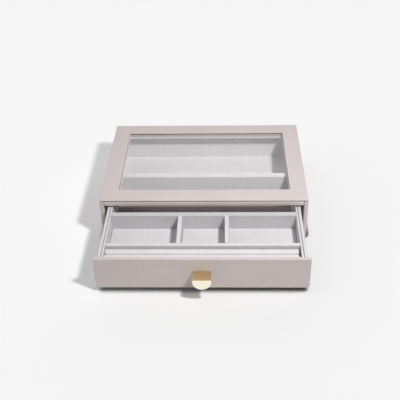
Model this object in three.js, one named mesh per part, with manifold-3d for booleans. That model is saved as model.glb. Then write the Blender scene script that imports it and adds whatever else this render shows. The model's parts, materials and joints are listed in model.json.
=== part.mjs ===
// A jewelry box: a covered case with a glass window in its fixed top, and one drawer with a lined tray.
// Millimetres. X runs across the front, Y from front to back, Z up.
// The origin is the centre of the case's footprint, on the surface that it stands on.
// The drawer is drawn as it stands in use, pulled forward by drawerOpen.

import * as THREE from 'three';
import { RoundedBoxGeometry } from 'three/addons/geometries/RoundedBoxGeometry.js';
import { mergeVertices } from 'three/addons/utils/BufferGeometryUtils.js';
import Module from 'manifold-3d';

// Overall size of the closed case, and how far the drawer stands open
const caseWidth = 250;
const caseDepth = 180;
const caseHeight = 56;
const drawerOpen = 98;

// Boards of the case
const sideThickness = 5;
const backThickness = 5;
const baseThickness = 4.4;
const railDepth = 5;
const railHeight = 5.8;
const rebateDepth = 2;
const feltThickness = 0.8;
const feltMargin = 2;
const wrapRadius = 1.2;
const glueLine = 0.1;

// Fixed top: a thin covered frame over a recessed line, and the core that holds the glass
const coverThickness = 1.3;
const coverEdgeRadius = 0.5;
const revealHeight = 1;
const revealDepth = 1.8;
const windowSideBorder = 20.7;
const windowFrontBorder = 23;
const windowBackBorder = 21;
const coreSetback = 0.5;
const glassThickness = 2;
const glassLap = 4;
const glassPlay = 0.4;

// Lining boards inside the case
const ceilingLining = 1.4;
const ceilingLip = 1.1;
const sideLining = 3.6;
const backLining = 1.2;
const floorLining = 2;
const liningRadius = 0.8;

// Running clearances of the drawer
const panelPlay = 0.5;
const stopPlay = 0.3;
const slidePlay = 0.3;
const sidePlay = 0.5;
const headPlay = 1;
const rearPlay = 1.5;

// Drawer box
const panelThickness = 5;
const drawerSideThickness = 3.4;
const drawerBackThickness = 4.6;
const drawerBaseThickness = 2.6;
const drawerBaseRaise = 1.2;
const grooveDepth = 1.5;
const drawerEdgeRadius = 1.1;

// Liner walls that stand inside the drawer box, a narrow slot away from it
const linerSlot = 0.5;
const linerSideThickness = 2.4;
const linerBackThickness = 4.2;
const linerFrontThickness = 1.4;
const linerEdgeRadius = 0.9;

// Tray in the front of the drawer
const ringSectionDepth = 19.8;
const frontPartitionThickness = 5;
const trayDepth = 51.2;
const rearPartitionThickness = 7;
const middleWidth = 50;
const dividerThickness = 5;
const bearerHeight = 11.1;
const trayBoardThickness = 2;
const cardThickness = 1.5;
const cardPlay = 0.3;
const cardRadius = 0.6;
const partitionRadius = 0.9;
const bearerWidth = 12;

// Padded rolls that hold rings in the slot between them
const rollDrop = 2.8;
const rollCrown = 2.6;
const rollBulge = 0.5;
const rollEndPlay = 0.3;
const rollEndPinch = 0.6;
const rollPlay = 0.15;

// Folded metal pull: a level shelf between a flange on the panel and a flap that hangs in front
const tabWidth = 20.4;
const tabThickness = 1;
const tabBendRadius = 0.4;
const tabReach = 17;
const tabFlapHeight = 12.1;
const tabRise = 25.2;
const studInset = 4.8;
const studRadius = 1.5;
const studHolePlay = 0.3;
const studEndRecess = 0.6;
const nutAcrossFlats = 5.5;
const nutThickness = 2.2;
const nutRecess = 0.5;
const nutPocketPlay = 0.4;

// Fineness of the facets, overrun of the cutting shapes, and the distance at which corners are one
const edgeSteps = 2;
const arcSteps = 4;
const roundSides = 24;
const nutSides = 6;
const rollSteps = 12;
const tabFoldSteps = 6;
const overrun = 3;
const weldDistance = 0.0002;

// The most of a wall's thickness that one rounded edge may take
const edgeShare = 0.45;

// Levels and faces of the case
const halfWidth = caseWidth / 2;
const front = -caseDepth / 2;
const back = caseDepth / 2;
const innerHalf = halfWidth - sideThickness;
const innerBack = back - backThickness;
const baseBottom = feltThickness + glueLine;
const baseTop = baseBottom + baseThickness;
const coverBottom = caseHeight - coverThickness;
const shoulder = coverBottom - revealHeight;
const openingTop = shoulder - railHeight;

// Window in the top
const windowHalf = halfWidth - windowSideBorder;
const windowFront = front + windowFrontBorder;
const windowBack = back - windowBackBorder;
const coreTop = coverBottom - glueLine;
const glassTop = coreTop - glueLine;
const glassBottom = glassTop - glassThickness;
const rebateBottom = glassBottom - glueLine;

// Drawer bay between the linings
const panelBack = front + panelThickness;
const liningFront = panelBack + stopPlay;
const liningRear = innerBack - glueLine;
const liningHalf = innerHalf - glueLine;
const ceilingTop = openingTop - glueLine;
const ceilingBottom = ceilingTop - ceilingLining;
const floorTop = baseTop + glueLine + floorLining;
const bayHalf = liningHalf - sideLining;
const bayBack = liningRear - backLining;

// Drawer box, in the place it has when closed
const drawerHalf = bayHalf - sidePlay;
const drawerInner = drawerHalf - drawerSideThickness;
const drawerRear = bayBack - rearPlay;
const drawerBackFront = drawerRear - drawerBackThickness;
const drawerFront = panelBack + glueLine;
const drawerBottom = floorTop + slidePlay;
const drawerTop = ceilingBottom - headPlay;
const panelBottom = baseTop + panelPlay;
const panelTop = openingTop - panelPlay;
const drawerBaseBottom = drawerBottom + drawerBaseRaise;
const drawerBaseTop = drawerBaseBottom + drawerBaseThickness;
const grooveBottom = drawerBaseBottom - glueLine;
const grooveTop = drawerBaseTop + glueLine;
const linerBottom = drawerBaseTop + glueLine;

// Liner and tray
const linerOuter = drawerInner - linerSlot;
const linerInner = linerOuter - linerSideThickness;
const linerRear = drawerBackFront - linerSlot;
const linerBackFront = linerRear - linerBackThickness;
const linerFrontRear = drawerFront + linerFrontThickness;
const fillHalf = linerInner - glueLine;
const partitionFront = linerFrontRear + ringSectionDepth;
const partitionRear = partitionFront + frontPartitionThickness;
const barFront = partitionRear + trayDepth;
const barRear = barFront + rearPartitionThickness;
const trayBoardBottom = linerBottom + bearerHeight + glueLine;
const trayBoardTop = trayBoardBottom + trayBoardThickness;
const dividerInner = middleWidth / 2;
const dividerOuter = dividerInner + dividerThickness;

// Pull
const tabTop = panelBottom + tabRise;
const tabBottom = tabTop - tabFlapHeight;
const studSpacing = tabWidth - 2 * studInset;
const studHeight = (tabBottom + tabTop) / 2;
const studHoleRadius = studRadius + studHolePlay;
const nutCornerRadius = nutAcrossFlats / Math.sqrt(3);
const nutPocketRadius = nutCornerRadius + nutPocketPlay;
const nutPocketDepth = glueLine + nutThickness + nutRecess;

// Finishes of the materials
const finishes = {
  leatherette: { color: 0xd3c8c4, roughness: 0.62, metalness: 0 },
  velvet: { color: 0xdedadd, roughness: 0.95, metalness: 0 },
  board: { color: 0xb9a58c, roughness: 0.85, metalness: 0 },
  felt: { color: 0xb9b0ae, roughness: 1, metalness: 0 },
  glass: { color: 0xeef4f3, roughness: 0.05, metalness: 0, transparent: true, opacity: 0.25 },
  brass: { color: 0xd8b877, roughness: 0.25, metalness: 1 },
  steel: { color: 0xb8babd, roughness: 0.35, metalness: 1 },
};

const wasm = await Module();
wasm.setup();

// A closed geometry as a solid that can be joined and cut.
function solidOf(geometry) {
  const bare = geometry.clone();
  bare.deleteAttribute('normal');
  bare.deleteAttribute('uv');
  const merged = mergeVertices(bare, weldDistance);
  return new wasm.Manifold(new wasm.Mesh({
    numProp: 3,
    vertProperties: merged.attributes.position.array,
    triVerts: new Uint32Array(merged.index.array),
  }));
}

// The surface of a solid as a geometry.
function geometryOf(solid) {
  const { vertProperties, triVerts } = solid.getMesh();
  const geometry = new THREE.BufferGeometry();
  geometry.setAttribute('position', new THREE.BufferAttribute(vertProperties, 3));
  geometry.setIndex(new THREE.BufferAttribute(triVerts, 1));
  geometry.computeVertexNormals();
  return geometry;
}

// One geometry with others joined to it, and others cut from it.
function shaped(geometry, { add = [], cut = [] }) {
  let solid = solidOf(geometry);
  for (const part of add) {
    solid = solid.add(solidOf(part));
  }
  for (const part of cut) {
    solid = solid.subtract(solidOf(part));
  }
  return geometryOf(solid);
}

// A named piece in its own finish.
function piece(name, geometry, finish) {
  const mesh = new THREE.Mesh(geometry, new THREE.MeshStandardMaterial(finishes[finish]));
  mesh.name = name;
  return mesh;
}

// Two faces in rising order.
function span(a, b) {
  return [Math.min(a, b), Math.max(a, b)];
}

// A plain block between two faces on each axis.
function block([x0, x1], [y0, y1], [z0, z1]) {
  return new THREE.BoxGeometry(x1 - x0, y1 - y0, z1 - z0)
    .translate((x0 + x1) / 2, (y0 + y1) / 2, (z0 + z1) / 2);
}

// A covered board, soft along all its edges.
function coveredBoard([x0, x1], [y0, y1], [z0, z1], radius) {
  return new RoundedBoxGeometry(x1 - x0, y1 - y0, z1 - z0, edgeSteps, radius)
    .translate((x0 + x1) / 2, (y0 + y1) / 2, (z0 + z1) / 2);
}

// The upright outline of a wall that is rounded along its top, as far as its thickness allows.
function wallOutline([a0, a1], [z0, z1], edgeRadius) {
  const radius = Math.min(edgeRadius, (a1 - a0) * edgeShare);
  return new THREE.Shape()
    .moveTo(a0, z0)
    .lineTo(a1, z0)
    .lineTo(a1, z1 - radius)
    .absarc(a1 - radius, z1 - radius, radius, 0, Math.PI / 2, false)
    .lineTo(a0 + radius, z1)
    .absarc(a0 + radius, z1 - radius, radius, Math.PI / 2, Math.PI, false)
    .closePath();
}

// An outline in Y and Z, carried along X.
function alongX(outline, [x0, x1], steps = arcSteps) {
  return new THREE.ExtrudeGeometry(outline, { depth: x1 - x0, bevelEnabled: false, curveSegments: steps })
    .rotateX(Math.PI / 2)
    .rotateZ(Math.PI / 2)
    .translate(x0, 0, 0);
}

// An outline in X and Z, carried along Y.
function alongY(outline, [y0, y1], steps = arcSteps) {
  return new THREE.ExtrudeGeometry(outline, { depth: y1 - y0, bevelEnabled: false, curveSegments: steps })
    .rotateX(Math.PI / 2)
    .translate(0, y1, 0);
}

// A wall that runs across the box, and one that runs from front to back.
function wallAcross(xs, ys, zs, radius) {
  return alongX(wallOutline(ys, zs, radius), xs);
}
function wallDeep(xs, ys, zs, radius) {
  return alongY(wallOutline(xs, zs, radius), ys);
}

// A rectangle with rounded corners, seen from above.
function plate([x0, x1], [y0, y1], radius) {
  return new THREE.Shape()
    .moveTo(x0 + radius, y0)
    .lineTo(x1 - radius, y0)
    .absarc(x1 - radius, y0 + radius, radius, -Math.PI / 2, 0, false)
    .lineTo(x1, y1 - radius)
    .absarc(x1 - radius, y1 - radius, radius, 0, Math.PI / 2, false)
    .lineTo(x0 + radius, y1)
    .absarc(x0 + radius, y1 - radius, radius, Math.PI / 2, Math.PI, false)
    .lineTo(x0, y0 + radius)
    .absarc(x0 + radius, y0 + radius, radius, Math.PI, 1.5 * Math.PI, false);
}

// A round rod along Y.
function rod(x, [y0, y1], z, radius, sides = roundSides) {
  return new THREE.CylinderGeometry(radius, radius, y1 - y0, sides)
    .translate(x, (y0 + y1) / 2, z);
}

// Case

// A side board, with rebates along its inner edges for the base and the back.
function sideBoard(name, side) {
  const xs = span(side * innerHalf, side * halfWidth);
  const rebate = span(side * (innerHalf - overrun), side * (innerHalf + rebateDepth));
  const board = coveredBoard(xs, [front, back], [0, shoulder], wrapRadius);
  const forBase = block(rebate, [front - overrun, back + overrun], [-overrun, baseTop + glueLine]);
  const forBack = block(rebate, [innerBack - glueLine, back + overrun], [-overrun, caseHeight]);
  return piece(name, shaped(board, { cut: [forBase, forBack] }), 'leatherette');
}

// The base lies in the rebates, and the back stands behind it.
function basePanel() {
  const half = innerHalf + rebateDepth - glueLine;
  const board = coveredBoard([-half, half], [front, innerBack - glueLine], [baseBottom, baseTop], wrapRadius);
  return piece('base_panel', board, 'leatherette');
}

function backPanel() {
  const half = innerHalf + rebateDepth - glueLine;
  const board = coveredBoard([-half, half], [innerBack, back], [0, shoulder], wrapRadius);
  return piece('back_panel', board, 'leatherette');
}

function baseFelt() {
  const outline = plate(
    [-innerHalf + feltMargin, innerHalf - feltMargin],
    [panelBack + feltMargin, innerBack - feltMargin],
    wrapRadius,
  );
  const sheet = new THREE.ExtrudeGeometry(outline, {
    depth: feltThickness, bevelEnabled: false, curveSegments: arcSteps,
  });
  return piece('base_felt', sheet, 'felt');
}

// The rail closes the case over the drawer.
function frontRail() {
  const rail = coveredBoard(
    [-liningHalf, liningHalf],
    [front, front + railDepth],
    [openingTop, shoulder],
    wrapRadius,
  );
  return piece('front_rail', rail, 'leatherette');
}

// A rectangular opening seen from above, drawn out past the window by a margin.
function windowOpening(margin) {
  return [
    [-windowHalf - margin, windowHalf + margin],
    [windowFront - margin, windowBack + margin],
  ];
}

// The core is a stepped frame: its lower part fills the case between the boards,
// its flange lies on them, and a rebate round the opening carries the glass.
function windowCore() {
  const lower = block(
    [-liningHalf, liningHalf],
    [front + railDepth + glueLine, liningRear],
    [openingTop, coreTop],
  );
  const flange = block(
    [-halfWidth + revealDepth, halfWidth - revealDepth],
    [front + revealDepth, back - revealDepth],
    [shoulder + glueLine, coreTop],
  );
  const opening = block(...windowOpening(coreSetback), [openingTop - overrun, caseHeight]);
  const rebate = block(...windowOpening(glassLap), [rebateBottom, caseHeight]);
  return piece('window_core', shaped(lower, { add: [flange], cut: [opening, rebate] }), 'leatherette');
}

function windowGlass() {
  const pane = block(
    ...windowOpening(glassLap - glassPlay),
    [glassBottom, glassTop],
  );
  return piece('window_glass', pane, 'glass');
}

// The thin covered frame on top, with soft edges outside and round the window.
function topFrame() {
  const outline = plate([-halfWidth, halfWidth], [front, back], wrapRadius);
  const [xs, ys] = windowOpening(0);
  outline.holes.push(new THREE.Path()
    .moveTo(xs[0], ys[0])
    .lineTo(xs[0], ys[1])
    .lineTo(xs[1], ys[1])
    .lineTo(xs[1], ys[0])
    .closePath());
  const frame = new THREE.ExtrudeGeometry(outline, {
    depth: coverThickness - 2 * coverEdgeRadius,
    bevelThickness: coverEdgeRadius,
    bevelSize: coverEdgeRadius,
    bevelOffset: -coverEdgeRadius,
    bevelSegments: arcSteps,
    curveSegments: arcSteps,
  }).translate(0, 0, coverBottom + coverEdgeRadius);
  return piece('top_frame', frame, 'leatherette');
}

// Linings of the case. The ceiling board reaches a little into the window as a pale lip.
function ceilingBoard() {
  const sheet = block([-liningHalf, liningHalf], [liningFront, liningRear], [ceilingBottom, ceilingTop]);
  const opening = block(...windowOpening(coreSetback - ceilingLip), [0, caseHeight]);
  return piece('lining_ceiling', shaped(sheet, { cut: [opening] }), 'velvet');
}

function liningBoards() {
  const zs = [floorTop + glueLine, ceilingBottom - glueLine];
  const ys = [liningFront, liningRear];
  const floorZ = [baseTop + glueLine, floorTop];
  const left = coveredBoard([-liningHalf, -bayHalf], ys, zs, liningRadius);
  const right = coveredBoard([bayHalf, liningHalf], ys, zs, liningRadius);
  const rear = block([-bayHalf + glueLine, bayHalf - glueLine], [bayBack, liningRear], zs);
  const floor = coveredBoard([-liningHalf, liningHalf], ys, floorZ, liningRadius);
  return [
    piece('lining_left', left, 'velvet'),
    piece('lining_right', right, 'velvet'),
    piece('lining_back', rear, 'velvet'),
    piece('lining_floor', floor, 'velvet'),
  ];
}

// Drawer

// The front panel, bored for the studs of the pull and counterbored behind for their nuts.
function drawerPanel() {
  const board = coveredBoard(
    [-innerHalf + panelPlay, innerHalf - panelPlay],
    [front, panelBack],
    [panelBottom, panelTop],
    wrapRadius,
  );
  const cut = [];
  for (const side of [-1, 1]) {
    const x = side * studSpacing / 2;
    cut.push(rod(x, [front - overrun, panelBack + overrun], studHeight, studHoleRadius));
    cut.push(rod(x, [panelBack - nutPocketDepth, panelBack + overrun], studHeight, nutPocketRadius));
  }
  return piece('drawer_front', shaped(board, { cut }), 'leatherette');
}

// The drawer's walls, with a groove that holds its base.
function drawerSide(name, side) {
  const xs = span(side * drawerInner, side * drawerHalf);
  const groove = span(side * (drawerInner - overrun), side * (drawerInner + grooveDepth));
  const wall = wallDeep(xs, [drawerFront, drawerRear], [drawerBottom, drawerTop], drawerEdgeRadius);
  const ys = [drawerFront - overrun, drawerBackFront + grooveDepth];
  const cut = [block(groove, ys, [grooveBottom, grooveTop])];
  return piece(name, shaped(wall, { cut }), 'velvet');
}

function drawerBack() {
  const half = drawerInner - glueLine;
  const ys = [drawerBackFront, drawerRear];
  const wall = wallAcross([-half, half], ys, [drawerBottom, drawerTop], drawerEdgeRadius);
  const groove = block(
    [-half - overrun, half + overrun],
    [drawerBackFront - overrun, drawerBackFront + grooveDepth],
    [grooveBottom, grooveTop],
  );
  return piece('drawer_back', shaped(wall, { cut: [groove] }), 'velvet');
}

function drawerBase() {
  const half = drawerInner + grooveDepth - glueLine;
  const board = block(
    [-half, half],
    [drawerFront, drawerBackFront + grooveDepth - glueLine],
    [drawerBaseBottom, drawerBaseTop],
  );
  return piece('drawer_base', board, 'board');
}

function linerWalls() {
  const zs = [linerBottom, drawerTop];
  const sideY = [drawerFront, linerRear];
  const across = [-fillHalf, fillHalf];
  const left = wallDeep([-linerOuter, -linerInner], sideY, zs, linerEdgeRadius);
  const right = wallDeep([linerInner, linerOuter], sideY, zs, linerEdgeRadius);
  const rear = wallAcross(across, [linerBackFront, linerRear], zs, linerEdgeRadius);
  const ahead = wallAcross(across, [drawerFront, linerFrontRear], zs, linerEdgeRadius);
  return [
    piece('liner_left', left, 'velvet'),
    piece('liner_right', right, 'velvet'),
    piece('liner_back', rear, 'velvet'),
    piece('liner_front', ahead, 'velvet'),
  ];
}

// The tray stands over the drawer's base on a raised board, held up by three bearers.
function trayBoard() {
  const board = block(
    [-fillHalf, fillHalf],
    [linerFrontRear + glueLine, barFront - glueLine],
    [trayBoardBottom, trayBoardTop],
  );
  return piece('tray_board', board, 'board');
}

function trayBearers() {
  const ys = [linerFrontRear + glueLine, barFront - glueLine];
  const zs = [linerBottom, trayBoardBottom - glueLine];
  const left = block([-fillHalf, -fillHalf + bearerWidth], ys, zs);
  const middle = block([-bearerWidth / 2, bearerWidth / 2], ys, zs);
  const right = block([fillHalf - bearerWidth, fillHalf], ys, zs);
  return [
    piece('tray_bearer_left', left, 'board'),
    piece('tray_bearer_middle', middle, 'board'),
    piece('tray_bearer_right', right, 'board'),
  ];
}

function partitions() {
  const across = [-fillHalf, fillHalf];
  const onTray = [trayBoardTop + glueLine, drawerTop];
  const between = [partitionRear + glueLine, barFront - glueLine];
  const rear = wallAcross(across, [barFront, barRear], [linerBottom, drawerTop], partitionRadius);
  const ahead = wallAcross(across, [partitionFront, partitionRear], onTray, partitionRadius);
  const left = wallDeep([-dividerOuter, -dividerInner], between, onTray, partitionRadius);
  const right = wallDeep([dividerInner, dividerOuter], between, onTray, partitionRadius);
  return [
    piece('rear_partition', rear, 'velvet'),
    piece('front_partition', ahead, 'velvet'),
    piece('divider_left', left, 'velvet'),
    piece('divider_right', right, 'velvet'),
  ];
}

// Covered cards that line the floors of the compartments.
function floorCard(name, [x0, x1], [y0, y1], bottom) {
  const card = coveredBoard(
    [x0 + cardPlay, x1 - cardPlay],
    [y0 + cardPlay, y1 - cardPlay],
    [bottom, bottom + cardThickness],
    cardRadius,
  );
  return piece(name, card, 'velvet');
}

function floorCards() {
  const trayY = [partitionRear, barFront];
  const onTray = trayBoardTop + glueLine;
  return [
    floorCard('floor_card_left', [-linerInner, -dividerOuter], trayY, onTray),
    floorCard('floor_card_middle', [-dividerInner, dividerInner], trayY, onTray),
    floorCard('floor_card_right', [dividerOuter, linerInner], trayY, onTray),
    floorCard('floor_card_rear', [-linerInner, linerInner], [barRear, linerBackFront], linerBottom),
  ];
}

// The upright outline of a padded roll: a flat foot, sides that swell a little, and a crowned top.
function rollOutline(middle, half, bottom, crest) {
  const shoulderZ = crest - rollCrown;
  const waistZ = (bottom + shoulderZ) / 2;
  return new THREE.Shape()
    .moveTo(middle - half + rollBulge, bottom)
    .lineTo(middle + half - rollBulge, bottom)
    .quadraticCurveTo(middle + half, waistZ, middle + half, shoulderZ)
    .absellipse(middle, shoulderZ, half, rollCrown, 0, Math.PI, false)
    .quadraticCurveTo(middle - half, waistZ, middle - half + rollBulge, bottom);
}

// A padded roll, whose sections draw in on a quarter round at both ends.
function ringRoll(name, [y0, y1]) {
  const bottom = trayBoardTop + glueLine;
  const crest = drawerTop - rollDrop;
  const half = (y1 - y0) / 2;
  const middle = (y0 + y1) / 2;
  const end = linerInner - rollEndPlay;
  const sections = 2 * arcSteps + 1;
  const roll = new THREE.ExtrudeGeometry(rollOutline(middle, half, bottom, crest), {
    depth: sections, steps: sections, bevelEnabled: false, curveSegments: rollSteps,
  })
    .rotateX(Math.PI / 2)
    .rotateZ(Math.PI / 2);
  const at = roll.attributes.position;
  for (let i = 0; i < at.count; i += 1) {
    const section = Math.round(at.getX(i));
    const fromEnd = Math.min(section, sections - section);
    const turn = (fromEnd / arcSteps) * (Math.PI / 2);
    const inset = rollEndPinch * (1 - Math.sin(turn));
    const place = end - rollEndPinch * (1 - Math.cos(turn));
    at.setXYZ(
      i,
      fromEnd === section ? -place : place,
      middle + (at.getY(i) - middle) * (1 - inset / half),
      bottom + (at.getZ(i) - bottom) * (1 - inset / (crest - bottom)),
    );
  }
  return piece(name, roll, 'velvet');
}

function ringRolls() {
  const y0 = linerFrontRear + rollPlay;
  const y1 = partitionFront - rollPlay;
  const middle = (y0 + y1) / 2;
  return [
    ringRoll('ring_roll_front', [y0, middle - rollPlay]),
    ringRoll('ring_roll_rear', [middle + rollPlay, y1]),
  ];
}

// The pull: a strip folded twice, so that a flange stands on the panel, a shelf comes forward
// and a flap hangs in front of the fingertip. Both legs end in a half round, and two studs hold the flange.
function pullTab() {
  const face = front - glueLine;
  const nose = face - tabReach;
  const outerRadius = tabBendRadius + tabThickness;
  const foldZ = tabTop - outerRadius;
  const section = new THREE.Shape()
    .moveTo(nose, tabBottom)
    .lineTo(nose + tabThickness, tabBottom)
    .lineTo(nose + tabThickness, foldZ)
    .absarc(nose + outerRadius, foldZ, tabBendRadius, Math.PI, Math.PI / 2, true)
    .lineTo(face - outerRadius, tabTop - tabThickness)
    .absarc(face - outerRadius, foldZ, tabBendRadius, Math.PI / 2, 0, true)
    .lineTo(face - tabThickness, tabBottom)
    .lineTo(face, tabBottom)
    .lineTo(face, foldZ)
    .absarc(face - outerRadius, foldZ, outerRadius, 0, Math.PI / 2, false)
    .lineTo(nose + outerRadius, tabTop)
    .absarc(nose + outerRadius, foldZ, outerRadius, Math.PI / 2, Math.PI, false)
    .closePath();
  const half = tabWidth / 2;
  const strip = alongX(section, [-half, half], tabFoldSteps);
  const ends = new THREE.Shape()
    .moveTo(half, tabTop + overrun)
    .lineTo(-half, tabTop + overrun)
    .lineTo(-half, tabBottom + half)
    .absarc(0, tabBottom + half, half, Math.PI, 2 * Math.PI, false)
    .closePath();
  const keep = alongY(ends, [nose - overrun, face + overrun], roundSides);
  let solid = solidOf(strip).intersect(solidOf(keep));
  for (const side of [-1, 1]) {
    const ys = [face - tabThickness, panelBack - studEndRecess];
    solid = solid.add(solidOf(rod(side * studSpacing / 2, ys, studHeight, studRadius)));
  }
  return piece('pull_tab', geometryOf(solid), 'brass');
}

// The nuts lie in the counterbores behind the panel.
function studNut(name, side) {
  const x = side * studSpacing / 2;
  const seat = panelBack - nutPocketDepth + glueLine;
  const body = rod(x, [seat, seat + nutThickness], studHeight, nutCornerRadius, nutSides);
  const bore = rod(x, [seat - overrun, seat + nutThickness + overrun], studHeight, studRadius + glueLine);
  return piece(name, shaped(body, { cut: [bore] }), 'steel');
}

const jewelryCase = new THREE.Group();
jewelryCase.add(
  sideBoard('side_left', -1),
  sideBoard('side_right', 1),
  backPanel(),
  basePanel(),
  baseFelt(),
  frontRail(),
  windowCore(),
  windowGlass(),
  topFrame(),
  ceilingBoard(),
  ...liningBoards(),
);

const drawer = new THREE.Group();
drawer.add(
  drawerPanel(),
  drawerSide('drawer_side_left', -1),
  drawerSide('drawer_side_right', 1),
  drawerBack(),
  drawerBase(),
  ...linerWalls(),
  trayBoard(),
  ...trayBearers(),
  ...partitions(),
  ...floorCards(),
  ...ringRolls(),
  pullTab(),
  studNut('stud_nut_left', -1),
  studNut('stud_nut_right', 1),
);
drawer.position.y = -drawerOpen;

const jewelryBox = new THREE.Group();
jewelryBox.add(jewelryCase, drawer);

export default jewelryBox;
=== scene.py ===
# %% [markdown]
# A jewelry box, dressed. The construction model of the box is loaded first. It is a fixed frame: each of its
# pieces has its real place and size, so everything that is made below measures itself on it.
# The finished looks have to stay inside it.

# %% Load the frame
import json
import math

import bmesh
import bpy
from mathutils import Matrix, Vector


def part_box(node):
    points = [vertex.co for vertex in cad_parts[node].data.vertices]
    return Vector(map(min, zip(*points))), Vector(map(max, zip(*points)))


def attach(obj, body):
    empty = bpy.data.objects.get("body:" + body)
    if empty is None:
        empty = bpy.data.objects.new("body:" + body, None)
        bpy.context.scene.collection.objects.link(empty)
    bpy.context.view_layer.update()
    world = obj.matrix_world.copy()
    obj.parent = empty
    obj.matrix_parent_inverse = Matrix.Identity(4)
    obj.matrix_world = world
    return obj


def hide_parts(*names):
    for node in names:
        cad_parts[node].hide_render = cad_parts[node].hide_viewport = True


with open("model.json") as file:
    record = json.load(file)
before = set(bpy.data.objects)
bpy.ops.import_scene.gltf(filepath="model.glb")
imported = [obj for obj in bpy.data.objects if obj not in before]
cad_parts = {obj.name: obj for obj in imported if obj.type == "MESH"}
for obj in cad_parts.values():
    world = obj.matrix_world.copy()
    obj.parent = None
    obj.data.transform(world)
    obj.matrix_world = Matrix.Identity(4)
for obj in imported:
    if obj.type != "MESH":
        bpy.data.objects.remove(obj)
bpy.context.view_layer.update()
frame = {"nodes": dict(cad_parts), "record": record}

nodes = frame["nodes"]
MM = 0.001


def in_mm(point):
    """A place in millimetres, for printing."""
    return [round(value / MM, 1) for value in point]


# %% [markdown]
# The camera stands where the photo was taken: in front, a little to the right, and well above the box.
# It could be aimed at a target, but three angles describe it better, because the picture is also turned by a
# degree and a half. From the angles come the three directions of the camera's own axes, and they are the columns
# of its matrix.

# %% The camera
CAMERA_PLACE = Vector((24.3, -783.1, 552.3)) * MM
CAMERA_TURN = math.radians(2.35)
CAMERA_DIP = math.radians(35.54)
CAMERA_ROLL = math.radians(-1.51)
LENS_MM = 64.44
NEAREST_SEEN, FARTHEST_SEEN = 10 * MM, 20.0


def add_object(name, data):
    """A new object in the scene, at the origin."""
    made = bpy.data.objects.new(name, data)
    bpy.context.scene.collection.objects.link(made)
    return made


def add_camera():
    """A camera that looks along +Y, turned to the left, tipped down and rolled."""
    across = Vector((math.cos(CAMERA_TURN), math.sin(CAMERA_TURN), 0))
    ahead = Vector((
        -math.sin(CAMERA_TURN) * math.cos(CAMERA_DIP),
        math.cos(CAMERA_TURN) * math.cos(CAMERA_DIP),
        -math.sin(CAMERA_DIP),
    ))
    up = across.cross(ahead)
    right = across * math.cos(CAMERA_ROLL) + up * math.sin(CAMERA_ROLL)
    top = up * math.cos(CAMERA_ROLL) - across * math.sin(CAMERA_ROLL)
    camera = add_object("camera", bpy.data.cameras.new("camera"))
    camera.data.lens = LENS_MM
    camera.data.clip_start, camera.data.clip_end = NEAREST_SEEN, FARTHEST_SEEN
    camera.matrix_world = Matrix.Translation(CAMERA_PLACE) @ Matrix((right, top, -ahead)).transposed().to_4x4()
    bpy.context.scene.camera = camera
    return camera


camera = add_camera()
print("camera", round(camera.data.lens, 1), "mm, at", in_mm(camera.location), "mm")

# %% [markdown]
# A material is a small graph of nodes, and a few helpers keep the recipes below short enough to read.
# The first finds a socket by its name, and takes the one that is in use, because a Mix node has an A and a B for
# each kind of data that it can mix. The second adds a node and fills its inputs. The others add one node each
# and hand back the socket that is wanted of it.
# All patterns read Object coordinates, so that they stay on a piece when it moves.

# %% Helpers for nodes
def socket(sockets, name):
    """The socket with this name that is in use."""
    return next(s for s in sockets if s.name == name and s.enabled)


def add_node(tree, kind, values=None, **settings):
    """A node of the given kind. Settings are its properties, values its inputs: a number, a colour or a link."""
    node = tree.nodes.new(kind)
    for name, value in settings.items():
        setattr(node, name, value)
    for name, value in (values or {}).items():
        target = node.inputs[name] if isinstance(name, int) else socket(node.inputs, name)
        if isinstance(value, bpy.types.NodeSocket):
            tree.links.new(value, target)
        else:
            target.default_value = value
    return node


def object_place(tree):
    """Where a point lies on the object, in metres."""
    return add_node(tree, "ShaderNodeTexCoord").outputs["Object"]


def noise(tree, place, scale, detail, distortion=0.0):
    """A soft noise from 0 to 1. Scale is about how many of its lumps fit in a metre."""
    return add_node(tree, "ShaderNodeTexNoise", {
        "Vector": place, "Scale": scale, "Detail": detail, "Distortion": distortion,
    }).outputs["Fac"]


def ramp(tree, value, start=0.0, end=1.0, low=0.0, high=1.0, curve="LINEAR"):
    """Goes from low to high while the value goes from start to end, and stays level outside of that."""
    return add_node(tree, "ShaderNodeMapRange", {
        "Value": value, "From Min": start, "From Max": end, "To Min": low, "To Max": high,
    }, interpolation_type=curve).outputs["Result"]


def calc(tree, operation, *values, clamp=False):
    """The result of a Math node."""
    inputs = dict(enumerate(values))
    return add_node(tree, "ShaderNodeMath", inputs, operation=operation, use_clamp=clamp).outputs["Value"]


def vector_calc(tree, operation, *values, gives="Vector"):
    """The result of a Vector Math node, which gives a Vector or a Value."""
    inputs = dict(enumerate(values))
    return add_node(tree, "ShaderNodeVectorMath", inputs, operation=operation).outputs[gives]


def part_along(tree, axis, vector):
    """The X, Y or Z of a vector."""
    return add_node(tree, "ShaderNodeSeparateXYZ", {"Vector": vector}).outputs[axis]


def blend(tree, share, first, second, kind="RGBA"):
    """Between two colours, or two values if the kind is FLOAT. A share of 0 gives the first."""
    mix = add_node(tree, "ShaderNodeMix", {"Factor": share, "A": first, "B": second}, data_type=kind)
    return socket(mix.outputs, "Result")


def dimmed(tree, colour, shade):
    """A colour times a shade."""
    return add_node(tree, "ShaderNodeVectorMath", {0: colour, "Scale": shade}, operation="SCALE").outputs["Vector"]


print("helpers for nodes ready")

# %% [markdown]
# An effect that several finishes share is a node group: it is built once, and each material places it with its
# own values. A group is a graph like a material's, with named sockets at both ends.
# The first lets a colour drift slowly between two tones, with a fine speckle, as any dyed surface does.

# %% Shared effect: tone drift
SPECKLE_SHARE = 0.35
# Nearly all of a noise's values lie between these two.
NOISE_LOW, NOISE_HIGH = 0.35, 0.65


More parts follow.
